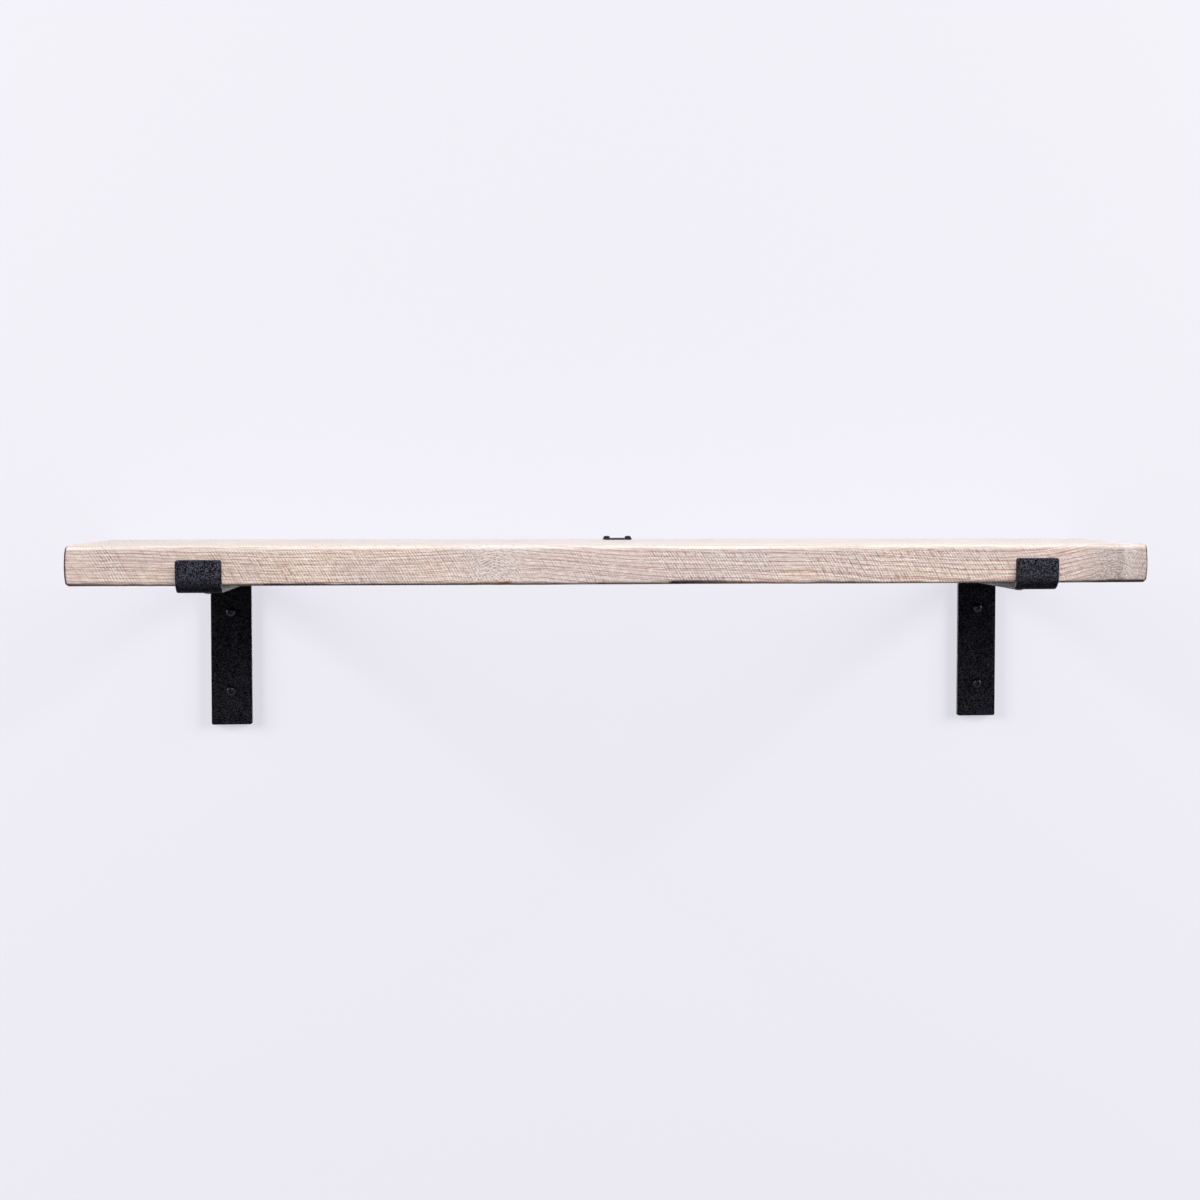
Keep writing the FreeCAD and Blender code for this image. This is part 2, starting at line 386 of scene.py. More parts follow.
core_points = np.clip(box_points, board_low + radius, board_high - radius)
outward = box_points - core_points
outward /= np.linalg.norm(outward, axis=1)[:, None]
saw_wave = np.cos(saw_path / SAW_WAVE * TURN + waves(*SAW_WAVE_WANDER))
hollow = WAVE_DEPTH * (1 + waves(*WAVE_CHANGE))
hollow += SAW_RELIEF * saw_depth * (1 + saw_wave)
hollow += GRAIN_RELIEF * (1 + np.cos(ring_radius / RING_WIDTH * TURN))
plank_points = core_points + outward * (radius - np.clip(hollow, 0, None)[:, None])

half_thickness = (board_high[2] - board_low[2]) / 2
level = (z - board_low[2]) / half_thickness - 1
for end, inward in ((board_low[0], 1), (board_high[0], -1)):
    plank_points[:, 0] += inward * END_BARREL * bump(x, end, END_REACH) * level ** 2
print("The dressed plank measures", np.ptp(plank_points, axis=0).round(1), "mm")

# %% [markdown]
# ## Where the finish differs
#
# End grain drinks the finish and goes darkest on its arris, where the saw scorched it and where painted
# shade stands for the arris turning away from the light. The lower front arris gets brown painted shade
# where it turns down: a thin line along it, stronger where splinters broke out and left it rounder. The top
# is given a paler, greyer colour, a painted sheen for its glancing reflection of the pale wall. All three
# follow from the direction in which a point of the skin faces: a turn below is how far that leans to the
# end, down or up, and 1 is fully. Smudges and greyed stretches lie at their own places along the plank.

# %% Stains, wash and painted light
END_TURN = (0.35, 0.6)
END_FACE_TURN = (0.9, 0.995)
END_FACE_SHARE = 0.2
UNDER_SHADE_TURN = (0.6, 0.85)
SPLINTER_TURN = (0.25, 0.5)
CHIP_TURN = (0.05, 0.3)
TOP_TURN = (0.75, 0.97)
UNDER_SHADE_SHARE = 0.1
LINE_SHARE = 0.55
LINE_WANDER = ((60, 400, 400), 25, 0.6)
LINE_LEAST_SHARE = 0.1
RUBBED_TURNS = ((0.84, 0.1, 0.7), (-0.55, 0.25, 0.6))
SEAM_WIDTH = 2.4
SMUDGES = ((SEAM_X, 0.9, 1.0), (455, 0.7, 7), (489, 0.5, 3))
SMUDGE_FADE_SHARE = 0.7
GREY_SHARE = 0.3
GREY_WANDER = ((70, 60, 12), 26, 0.35)
GREY_STRETCHES = ((-100, 140, 0.7), (150, 240, 0.4), (430, 496, 0.45), (-504, -470, 0.3))
GREY_STRETCH_SOFT = 50
ARRIS_TURN = (0.45, 0.3)
ARRIS_WASH_AND_HIGHLIGHT_SHARES = (0.6, 0.5)
PAINTED_HIGHLIGHT_ROW = (3.4, 1.4)


def ramp(values, start, end):
    """Return 0 up to start and 1 from end on, straight between them."""
    return np.clip((values - start) / (end - start), 0, 1)


facing_end = np.abs(outward[:, 0])
facing_down = -outward[:, 2] * (outward[:, 1] < 0)
facing_up = outward[:, 2]
# Partly painted shade: the ends' arrises, turned away from the light, are darkest, over the end grain's own
# darker tone.
end_rim_stain_and_shade = ramp(facing_end, *END_TURN) * (1 - (1 - END_FACE_SHARE) * ramp(facing_end, *END_FACE_TURN))
line_wander = np.clip(LINE_SHARE + waves(*LINE_WANDER), LINE_LEAST_SHARE, 1)
# Painted shade: the down-facing part of the lower front arris gets a thin brown line, stronger on splintered
# stretches.
under_painted_shade = np.maximum(UNDER_SHADE_SHARE * line_wander * ramp(facing_down, *UNDER_SHADE_TURN),
                        splinter_shade * ramp(facing_down, *SPLINTER_TURN))
stain_and_shade = np.maximum(end_rim_stain_and_shade, under_painted_shade)
rubbed = sum(share * bump(facing_up, turn, reach) for turn, reach, share in RUBBED_TURNS)
chip = np.maximum(fresh * ramp(facing_down, *CHIP_TURN), rubbed * line_wander * (1 - splinter_shade))
smudge = sum(share * bump(x, place, SEAM_WIDTH * spread) for place, share, spread in SMUDGES)
smudge = np.clip(smudge, 0, 1) * near_front * (1 - SMUDGE_FADE_SHARE * ramp(z, board_low[2], board_high[2]))
greyed = GREY_SHARE + waves(*GREY_WANDER)
for start, end, extra in GREY_STRETCHES:
    greyed += extra * window(x, start, end, GREY_STRETCH_SOFT)
greyed = np.clip(greyed, 0, 1)
# Painted sheen: the top face is given a paler, greyer colour that stands for its glancing reflection of the
# pale wall.
top_painted_sheen = ramp(facing_up, *TOP_TURN)
# Painted highlight: the upper arrises, where they lean up, and a pale row just below the top of the front
# take the wash's pale colour.
painted_highlight_row = near_front * bump(depth_below_top, *PAINTED_HIGHLIGHT_ROW)
arris_wash_and_highlight = np.maximum(bump(facing_up, *ARRIS_TURN), painted_highlight_row)
arris_wash_and_highlight *= np.clip(ARRIS_WASH_AND_HIGHLIGHT_SHARES[0] + ARRIS_WASH_AND_HIGHLIGHT_SHARES[1] * line_wander, 0, 1)
print("Stained share of the skin:", round(float((stain_and_shade > 0.5).mean()), 3))

# %% Mesh of the plank
def mesh_from(points, faces):
    """Make a smooth-shaded mesh from points in millimetres."""
    mesh = bpy.data.meshes.new("mesh")
    mesh.from_pydata((points * MM).tolist(), [], faces)
    mesh.shade_smooth()
    return mesh


plank_paths = {"grain": (x, ring_radius, around_pith), "saw": (saw_path, y, z)}
plank_marks = {"saw_depth": saw_depth, "knot": knot_nearness, "branch_ring": branch_ring, "greyed": greyed,
               "arris_wash_and_highlight": arris_wash_and_highlight, "top_painted_sheen": top_painted_sheen, "smudge": smudge, "chip": chip,
               "stain_and_shade": stain_and_shade}
plank_mesh = mesh_from(plank_points, plank_quads.tolist())
for name, path in plank_paths.items():
    stored = plank_mesh.attributes.new(name, "FLOAT_VECTOR", "POINT")
    stored.data.foreach_set("vector", np.stack(path, axis=1).astype(np.float32).ravel())
for name, values in plank_marks.items():
    stored = plank_mesh.attributes.new(name, "FLOAT", "POINT")
    stored.data.foreach_set("value", values.astype(np.float32))
print("The plank's mesh has", len(plank_mesh.vertices), "points")

# %% [markdown]
# ## The plank's finish: sawn pine, limed
#
# Lime wash is thin white paint brushed on raw wood and wiped off again. It stays in the open spring wood
# and in the saw's scratches, and rubs off the hard summer wood, whose thin tan lines show through. A
# photograph of wood wouldn't follow this plank's own rings round its corners. So masks are made from the
# numbers stored above, each for one colour. A pattern of noise is written as its size in mm along and
# across the grain, and the limits between which the noise rises from none to full.
#
# The base is washed fibre. Real fibres are finer than the picture shows, so they are drawn as bundles,
# coarser than the real ones.

# %% Streaks
FIBRES = {"size": (25, 0.6), "limits": (0.37, 0.63)}


def streaks(tree, place, size, limits, least=0.0, most=1.0):
    """Return noise drawn out to a size in mm along a place's first and other directions, in contrast."""
    stretch = (1 / size[0], 1 / size[1], 1 / size[1])
    stretched = add(tree, "VectorMath", {0: place, 1: stretch}, operation="MULTIPLY")
    noise = add(tree, "TexNoise", {"Vector": stretched, "Scale": 1.0})
    return add(tree, "MapRange", {"Value": noise, "From Min": limits[0], "From Max": limits[1],
                                  "To Min": least, "To Max": most})


print("Fibre bundles are", FIBRES["size"][1], "mm thick and", FIBRES["size"][0], "mm long")

# %% [markdown]
# ### Ring lines
#
# Within a ring the wood darkens slowly towards the summer side and stops sharply where the next spring
# begins. A colour ramp over the place within the ring gives that. Each ring draws its own luck, because
# dry years leave stronger lines, and thinner lines between the strong ones keep the spacing lively.

# %% Ring lines
RUFFLES = {"size": (150, 5), "limits": (0.0, 1.0), "least": -0.11, "most": 0.11}
RUBBED_PATCHES = {"size": (180, 4.0), "limits": (0.34, 0.56), "least": 0.8}
SUMMER_START_SHARE = 0.93
STRONG_RISE_SHARE = 0.84
THIN_RISE_SHARE = 0.62
FAINTEST_LINE_SHARE = 0.7
THIN_LINES_PER_RING = 2.3
THIN_LINE_SHARE = 0.5


def ring_lines(tree, grain, radius, width, rise, most=1.0):
    """Return lines at the end of each ring, from the distance in mm to the pith or a branch's heart."""
    ruffled = streaks(tree, grain, **RUFFLES)
    ring = add(tree, "Math", {0: radius, 1: 1 / width, 2: ruffled}, operation="MULTIPLY_ADD")
    line = add(tree, "ValToRGB", {"Fac": add(tree, "Math", {0: ring}, operation="FRACT")})
    points = line.color_ramp.elements
    points[0].position = rise
    points[1].color = points[0].color
    points.new(SUMMER_START_SHARE).color = (1, 1, 1, 1)
    ring_number = add(tree, "Math", {0: ring}, operation="FLOOR")
    luck = add(tree, "TexWhiteNoise", {"W": ring_number}, noise_dimensions="1D")
    strength = add(tree, "MapRange", {"Value": luck, "To Min": FAINTEST_LINE_SHARE, "To Max": most})
    return add(tree, "Math", {0: line, 1: strength}, operation="MULTIPLY")


def summer_wood(tree, grain):
    """Return where summer wood shows: strong lines, rubbed free in patches, and thin ones between."""
    ring_place = add(tree, "SeparateXYZ", {0: grain}).outputs["Y"]
    rubbed_free = streaks(tree, grain, **RUBBED_PATCHES)
    lines = ring_lines(tree, grain, ring_place, RING_WIDTH, STRONG_RISE_SHARE)
    strong = add(tree, "Math", {0: lines, 1: rubbed_free}, operation="MULTIPLY")
    thin = ring_lines(tree, grain, ring_place, RING_WIDTH / THIN_LINES_PER_RING, THIN_RISE_SHARE,
                      THIN_LINE_SHARE)
    return add(tree, "Math", {0: strong, 1: thin}, operation="MAXIMUM")


print("Strong lines every", RING_WIDTH, "mm of growth")

# %% [markdown]
# ### Knot wood
#
# Round a branch the fibres stand on end. They take less wash and show as short dark dashes on rings round
# the branch's heart. The dashes come from noise of about their length, kept only on those rings.

# %% Knot flecks
FLECK_LENGTH = 2.2
FLECK_LIMITS = (0.45, 0.56)
FLECK_RING = 2.2
FLECK_RISE_SHARE = 0.3
KNOT_WASH_LIMITS = (0.05, 0.8)
KNOT_WASH_SHARE = 0.5


def knot_wood(tree, grain, knot, branch_ring):
    """Return where pale knot wood and where its dark flecks show, by how near a branch is."""
    wash = add(tree, "MapRange", {"Value": knot, "From Min": KNOT_WASH_LIMITS[0],
                                  "From Max": KNOT_WASH_LIMITS[1], "To Max": KNOT_WASH_SHARE})
    spot = add(tree, "TexCoord", {}).outputs["Object"]
    noise = add(tree, "TexNoise", {"Vector": spot, "Scale": 1 / (FLECK_LENGTH * MM), "Detail": 1.0})
    dashes = add(tree, "MapRange", {"Value": noise, "From Min": FLECK_LIMITS[0],
                                    "From Max": FLECK_LIMITS[1], "To Max": knot})
    rings = ring_lines(tree, grain, branch_ring, FLECK_RING, FLECK_RISE_SHARE)
    return wash, add(tree, "Math", {0: rings, 1: dashes}, operation="MULTIPLY")


print("Flecks are about", FLECK_LENGTH, "mm long")

# %% [markdown]
# ### Saw scratches
#
# The saw's teeth left a fine, even hatch, with lime caught in its grooves as pale dashes, and a few strong
# strokes. Real tooth marks are about 1 mm apart. They are drawn 2.8 mm apart, as close as the picture can
# show, and the strokes lie on a second, wider wave. Noise breaks both up into short lengths.

# %% Saw scratches
MARK_WANDER = {"size": (40, 25), "limits": (0.0, 1.0), "least": -2.5, "most": 2.5}
HATCH_SPACING = 2.8
HATCH_LIMITS = (0.1, 0.9)
HATCH_BREAKS = {"size": (6, 2.0), "limits": (0.4, 0.56)}
HATCH_SHARE = 0.56
LIME_BREAKS = {"size": (5, 1.8), "limits": (0.45, 0.62)}
STROKE_SPACING = 7.5
STROKE_LIMITS = (0.8, 0.95)
STROKE_PATCHES = {"size": (180, 4.0), "limits": (0.42, 0.58), "least": 0.25}
STROKE_BREAKS = {"size": (14, 7), "limits": (0.4, 0.55)}
STROKE_SHARE = 0.95


def across_marks(tree, saw, spacing):
    """Return a sine that runs across the saw's marks and wanders a little, one wave to each spacing."""
    path = add(tree, "SeparateXYZ", {0: saw}).outputs["X"]
    wander = streaks(tree, saw, **MARK_WANDER)
    phase = add(tree, "Math", {0: path, 1: TURN / spacing, 2: wander}, operation="MULTIPLY_ADD")
    return add(tree, "Math", {0: phase}, operation="SINE")


def saw_scratches(tree, grain, saw, saw_depth):
    """Return the grey scratches and the dashes of lime caught in the saw's hatch."""
    hatch_wave = across_marks(tree, saw, HATCH_SPACING)
    stroke_wave = across_marks(tree, saw, STROKE_SPACING)
    dark_dashes = streaks(tree, grain, **HATCH_BREAKS, most=saw_depth)
    pale_dashes = streaks(tree, grain, **LIME_BREAKS, most=saw_depth)
    patches = streaks(tree, grain, **STROKE_PATCHES, most=saw_depth)
    stroke_lengths = streaks(tree, grain, **STROKE_BREAKS, most=patches)
    lime = add(tree, "MapRange", {"Value": hatch_wave, "From Min": -HATCH_LIMITS[0],
                                  "From Max": -HATCH_LIMITS[1], "To Max": pale_dashes})
    scratches = []
    for wave, (low, high), lengths, share in ((hatch_wave, HATCH_LIMITS, dark_dashes, HATCH_SHARE),
                                              (stroke_wave, STROKE_LIMITS, stroke_lengths, STROKE_SHARE)):
        marks = add(tree, "MapRange", {"Value": wave, "From Min": low, "From Max": high, "To Max": lengths})
        scratches.append(add(tree, "Math", {0: marks, 1: share}, operation="MULTIPLY"))
    return add(tree, "Math", {0: scratches[0], 1: scratches[1]}, operation="MAXIMUM"), lime


print("The hatch is drawn", HATCH_SPACING, "mm apart")

# %% [markdown]
# ### The whole finish
#
# Each colour goes over the ones before it where its mask says: fibres and their greying, the saw's
# scratches, the rings' lines, the knots, the wash, which on the upper arrises is also a painted highlight,
# the top's painted sheen, smudges, and last the chips and the dark brown on arrises and ends: tan where wood
# is freshly bared, brown painted shade on the lower front arris, and on the ends' arrises scorched end grain
# with painted shade. The surface is matt: wood's IOR of about 1.5 with a high roughness, and hardly any
# gloss, because loose lime dust lies over the fibres.

# %% Limed pine
RAW_FIBRE = "#D0AF9F"
# Among these colours, the wash also paints highlights on the upper arrises, the top's colour is a painted
# sheen, and the darkest brown also paints shade on arrises.
COATS = {"fibres": "#F6E5DB", "greyed": "#D2C5C4", "scratches": "#7E6C65", "lines": "#8B4720",
         "knot_wash": "#DED4D1", "flecks": "#4A3B35", "wash": "#FFF8F2", "top_painted_sheen": "#DCDCDE",
         "smudge": "#7E6C65", "chip": "#DDA67E", "stain_and_shade": "#43302A"}
GREYED_SHARE = 0.7
WASH_SHARE = 0.65
TOP_PAINTED_SHEEN_SHARE = 0.55
DAUBS = {"size": (9, 0.6), "limits": (0.56, 0.68)}
SMUDGE_GRAIN = {"size": (1.6, 3), "limits": (0.4, 0.6), "least": 0.15}
PINE_IOR = 1.5
PINE_SPECULAR_LEVEL = 0.1
PINE_ROUGHNESS = 0.9
FIBRE_RELIEF_SHARE = 0.5
RELIEF_SHARE = 0.5
RELIEF_DEPTH = 0.3


def limed_pine():
    """Make the plank's material: masks from the numbers on its mesh, and a colour over the rest by each."""
    material, tree = new_material("limed_pine")
    grain, saw = (add(tree, "Attribute", {}, attribute_name=name).outputs["Vector"] for name in plank_paths)
    marks = {name: add(tree, "Attribute", {}, attribute_name=name).outputs["Fac"] for name in plank_marks}
    fibres = streaks(tree, grain, **FIBRES)
    scratches, lime = saw_scratches(tree, grain, saw, marks["saw_depth"])
    lines = summer_wood(tree, grain)
    knot_wash, flecks = knot_wood(tree, grain, marks["knot"], marks["branch_ring"])
    caught = add(tree, "Math", {0: streaks(tree, grain, **DAUBS), 1: lime}, operation="MAXIMUM")
    # The wash's mask also carries the painted highlight on the upper arrises.
    limed = add(tree, "Math", {0: caught, 1: marks["arris_wash_and_highlight"]}, operation="MAXIMUM")
    smudge_grain = streaks(tree, saw, **SMUDGE_GRAIN, most=marks["smudge"])
    masks = {
        "fibres": fibres, "scratches": scratches, "lines": lines, "knot_wash": knot_wash, "flecks": flecks,
        "greyed": add(tree, "MapRange", {"Value": marks["greyed"], "To Max": GREYED_SHARE}),
        "wash": add(tree, "Math", {0: limed, 1: WASH_SHARE}, operation="MULTIPLY"),
        "top_painted_sheen": add(tree, "MapRange", {"Value": marks["top_painted_sheen"], "To Max": TOP_PAINTED_SHEEN_SHARE}),
        "smudge": add(tree, "Math", {0: smudge_grain, 1: marks["smudge"]}, operation="MINIMUM"),
        "chip": marks["chip"], "stain_and_shade": marks["stain_and_shade"],
    }
    wood = linear(RAW_FIBRE)
    for name, colour in COATS.items():
        wood = add(tree, "Mix", {"Factor": masks[name], "A": wood, "B": linear(colour)}, data_type="RGBA")

    raised = add(tree, "Math", {0: fibres, 1: FIBRE_RELIEF_SHARE, 2: lines}, operation="MULTIPLY_ADD")
    height = add(tree, "Math", {0: raised, 1: scratches}, operation="SUBTRACT")
    relief = add(tree, "Bump", {"Height": height, "Strength": RELIEF_SHARE, "Distance": RELIEF_DEPTH * MM})
    shader = add(tree, "BsdfPrincipled", {"Base Color": wood, "Roughness": PINE_ROUGHNESS, "IOR": PINE_IOR,
                                          "Specular IOR Level": PINE_SPECULAR_LEVEL, "Normal": relief})
    add(tree, "OutputMaterial", {"Surface": shader})
    return material


plank = place_piece("plank", plank_mesh, "shelf_board", limed_pine())
print("Plank placed over", tuple(round(v, 3) for v in plank.dimensions))

# %% [markdown]
# ## The brackets' finish: fine-texture powder coat on steel
#
# Powder coat is plastic dust baked onto the bar. The fine-texture kind shrinks into a skin of small
# grains, whose tops catch the light as tiny glints on near-black. Here those glints are painted highlights:
# grey specks in the base colour, with the specular level kept very low. The real grains are about 0.4 mm,
# too fine for the picture's pixels of about 1 mm, so they are drawn twice as coarse. A plastic isn't
# metallic and has the IOR of a polyester.

# %% Powder coat
COAT_BLACK = "#09090B"
COAT_GLINT_GREY = "#50505B"
COAT_IOR = 1.5
COAT_SPECULAR_LEVEL = 0.01
COAT_ROUGHNESS = 0.42
COAT_GRAIN = 0.8
COAT_GRAIN_ROUGHNESS = 0.6
COAT_GLINT_LIMITS = (0.47, 0.59)
COAT_RELIEF_SHARE = 0.8
COAT_DEPTH = 0.2


def powder_coat():
    """Make the black powder coat: grains that give both the relief and painted glints in the tone."""
    material, tree = new_material("powder_coat")
    spot = add(tree, "TexCoord", {}).outputs["Object"]
    grains = add(tree, "TexNoise", {"Vector": spot, "Scale": 1 / (COAT_GRAIN * MM), "Detail": 1.0,
                                    "Roughness": COAT_GRAIN_ROUGHNESS})
    # Painted highlights: the grains' tops get grey specks that stand in for glints of light.
    painted_glints = add(tree, "MapRange", {"Value": grains, "From Min": COAT_GLINT_LIMITS[0],
                                  "From Max": COAT_GLINT_LIMITS[1]})
    colour = add(tree, "Mix", {"Factor": painted_glints, "A": linear(COAT_BLACK), "B": linear(COAT_GLINT_GREY)},
                 data_type="RGBA")
    relief = add(tree, "Bump", {"Height": grains, "Strength": COAT_RELIEF_SHARE,
                                "Distance": COAT_DEPTH * MM})
    shader = add(tree, "BsdfPrincipled", {"Base Color": colour, "Roughness": COAT_ROUGHNESS, "IOR": COAT_IOR,
                                          "Specular IOR Level": COAT_SPECULAR_LEVEL, "Normal": relief})
    add(tree, "OutputMaterial", {"Surface": shader})
    return material


coat = powder_coat()
print("Made", coat.name)

# %% [markdown]
# ## The brackets' shape
#
# Each bracket is one strip of 40 x 6 mm bar, cut off, bent twice, drilled and coated. The script draws the
# bent bar's edge-on outline with its two bends as arcs, gives it the bar's width, rounds the sheared
# corners, drills the holes with a boolean and eases every edge with a bevel, as a thick coat does.

# %% Bent bar
BAR_THICKNESS = 6.0
BEND_INNER_RADIUS = 8.0
BEND_STEPS = 14
LIP_HEIGHT = 30.0

quarter = TURN / 4
arm_under = board_low[2] - BAR_THICKNESS
lip_top = arm_under + LIP_HEIGHT


def arc(centre, radius, start, end, steps):
    """Return points on an arc in a flat view, from a start to an end angle."""
    angles = np.linspace(start, end, steps + 1)
    return [(centre[0] + radius * math.cos(a), centre[1] + radius * math.sin(a)) for a in angles]


def bar_outline(low, high):
    """Return the bent bar's outline in the side view: the leg, the arm and the lip, as (y, z) points."""
    outer_radius = BEND_INNER_RADIUS + BAR_THICKNESS
    rear_bend = (high[1] - outer_radius, board_low[2] - outer_radius)
    front_bend = (low[1] + outer_radius, arm_under + outer_radius)
    outline = [(high[1] - BAR_THICKNESS, low[2]), (high[1], low[2])]
    outline += arc(rear_bend, outer_radius, 0, quarter, BEND_STEPS)
    outline += arc(front_bend, BEND_INNER_RADIUS, 3 * quarter, 2 * quarter, BEND_STEPS)
    outline += [(low[1] + BAR_THICKNESS, lip_top), (low[1], lip_top)]
    outline += arc(front_bend, outer_radius, 2 * quarter, 3 * quarter, BEND_STEPS)
    outline += arc(rear_bend, BEND_INNER_RADIUS, quarter, 0, BEND_STEPS)
    return outline


def drawn_out(outline, way):
    """Return a bmesh of a flat outline of points in mm, drawn out by a vector in mm."""
    shape = bmesh.new()
    face = shape.faces.new([shape.verts.new(Vector(point) * MM) for point in outline])
    moved = bmesh.ops.extrude_face_region(shape, geom=[face])["geom"]
    new_points = [item for item in moved if isinstance(item, bmesh.types.BMVert)]
    bmesh.ops.translate(shape, verts=new_points, vec=Vector(way) * MM)
    bmesh.ops.recalc_face_normals(shape, faces=shape.faces)
    return shape


print("Outline points:", len(bar_outline(*node_box("bracket_left"))))

# %% Rounding, drilling and easing the bar
BAR_CORNER_RADIUS = 2.0
CORNER_SEGMENTS = 5
SAME_PLACE = MM / 100
HOLES = {"wall": {"axis": (0, 1, 0), "diameter": 5.6, "length": 24},
         "arm": {"axis": (0, 0, 1), "diameter": 5.1, "length": 24},
         "plate": {"axis": (0, 0, 1), "diameter": 4.1, "length": 12}}
HOLE_SIDES = 32
SHARP_ANGLE = math.radians(40)
EDGE_SEGMENTS = 3


def round_ends(bar, heights):
    """Round the corners of the bar's sheared ends, which lie at two heights."""
    corners = []
    for edge in bar.edges:
        start, end = (point.co for point in edge.verts)
        through = max(abs(end.x - start.x), abs(end.z - start.z)) < SAME_PLACE
        if through and any(abs(start.z - height * MM) < SAME_PLACE for height in heights):
            corners.append(edge)
    bmesh.ops.bevel(bar, geom=corners, offset=BAR_CORNER_RADIUS * MM, segments=CORNER_SEGMENTS,
                    affect="EDGES", profile=0.5)


def scratch_object(shape):
    """Make a temporary object from a mesh or a bmesh, for modifiers to work on."""
    mesh = shape
    if isinstance(shape, bmesh.types.BMesh):
        mesh = bpy.data.meshes.new("blank")
        shape.to_mesh(mesh)
        shape.free()
    blank = bpy.data.objects.new("blank", mesh)
    bpy.context.scene.collection.objects.link(blank)
    return blank


def bake_modifiers(piece):
    """Turn an object's modifiers into plain geometry."""
    bpy.context.view_layer.update()
    graph = bpy.context.evaluated_depsgraph_get()
    finished = bpy.data.meshes.new_from_object(piece.evaluated_get(graph))
    piece.modifiers.clear()
    piece.data = finished


def cut(target, cutter):
    """Take a cutter's shape out of an object, and throw the cutter away."""
    boolean = target.modifiers.new("cut", "BOOLEAN")
    boolean.operation = "DIFFERENCE"
    boolean.solver = "EXACT"
    boolean.object = cutter
    bake_modifiers(target)
    bpy.data.meshes.remove(cutter.data)


def standing(place, axis):
    """Return the matrix that stands a shape at a place in mm, with its own Z along an axis."""
    turned = Vector(axis).to_track_quat("Z", "Y").to_matrix().to_4x4()
    return Matrix.Translation(Vector(place) * MM) @ turned


def drill(target, place, axis, diameter, length):
    """Cut a round hole through an object at a place, along an axis."""
    shape = bmesh.new()
    bmesh.ops.create_cone(shape, cap_ends=True, segments=HOLE_SIDES, radius1=diameter / 2 * MM,
                          radius2=diameter / 2 * MM, depth=length * MM, matrix=standing(place, axis))
    cut(target, scratch_object(shape))


def eased_mesh(blank, radius):
    """Ease an object's sharp edges, shade it smooth, and return its mesh alone."""
    bevel = blank.modifiers.new("edges", "BEVEL")
    bevel.width = radius * MM
    bevel.segments = EDGE_SEGMENTS
    bevel.limit_method = "ANGLE"
    bevel.angle_limit = SHARP_ANGLE
    bake_modifiers(blank)
    mesh = blank.data
    bpy.data.objects.remove(blank)
    mesh.shade_smooth()
    return mesh


print("Holes:", {kind: hole["diameter"] for kind, hole in HOLES.items()}, "mm wide")

# %% Brackets
BRACKET_SCREWS = (("wall", "upper"), ("wall", "lower"), ("arm", "front"), ("arm", "rear"))
COAT_EDGE_RADIUS = 0.5


def bracket_mesh(side):
    """Return the mesh of one bracket: bent, rounded at its ends, drilled for its screws and eased."""
    low, high = node_box(f"bracket_{side}")
    outline = [(low[0], y, z) for y, z in bar_outline(low, high)]
    bar = drawn_out(outline, (high[0] - low[0], 0, 0))
    round_ends(bar, (low[2], lip_top))
    blank = scratch_object(bar)
    for kind, place in BRACKET_SCREWS:
        screw_low, screw_high = node_box(f"{kind}_screw_{side}_{place}")
        head = np.where(HOLES[kind]["axis"], screw_low, (screw_low + screw_high) / 2)
        drill(blank, head, **HOLES[kind])
    return eased_mesh(blank, COAT_EDGE_RADIUS)


for side in ("left", "right"):
    name = f"{side}_flat_bar"
    bracket = place_piece(name, bracket_mesh(side), f"bracket_{side}", coat)
    print(bracket.name, "has", len(bracket.data.vertices), "points")

# %% [markdown]
# ## The small plate
#
# A small black strap lies on the plank near the wall under two screws. It is cut from thin strip with
# rounded corners, so its mesh is a rounded outline with a little thickness and eased edges.

# %% Small plate
PLATE_CORNER_RADIUS = 3.0
PLATE_CORNER_STEPS = 6
PLATE_EDGE_RADIUS = 0.3


def plate_mesh():
    """Return the strap's mesh: a rounded rectangle of thin strip with two holes."""
    low, high = node_box("rear_plate")
    near, far = low + PLATE_CORNER_RADIUS, high - PLATE_CORNER_RADIUS
    outline = []
    for number, centre in enumerate(((far[0], far[1]), (near[0], far[1]), (near[0], near[1]),
                                     (far[0], near[1]))):
        outline += arc(centre, PLATE_CORNER_RADIUS, number * quarter, (number + 1) * quarter,
                       PLATE_CORNER_STEPS)
    blank = scratch_object(drawn_out([(x, y, low[2]) for x, y in outline], (0, 0, high[2] - low[2])))
    for side in ("left", "right"):
        screw_low, screw_high = node_box(f"plate_screw_{side}")
        centre = (screw_low + screw_high) / 2
        drill(blank, (centre[0], centre[1], low[2]), **HOLES["plate"])
    return eased_mesh(blank, PLATE_EDGE_RADIUS)


plate = place_piece("strap", plate_mesh(), "rear_plate", coat)
print("Strap placed:", tuple(round(v, 4) for v in plate.dimensions))

# %% [markdown]
# ## The screws' finish: black phosphate steel
#
# The screws are steel with a thin black phosphate layer and a film of oil. It follows the metal closely,
# so the heads keep crisp, satin highlights where the powder coat scatters them.

# %% Black phosphate
PHOSPHATE_BLACK = "#050506"
PHOSPHATE_IOR = 1.5
PHOSPHATE_SPECULAR_LEVEL = 0.3
PHOSPHATE_ROUGHNESS = (0.15, 0.25)
PHOSPHATE_CLOUD = 0.8


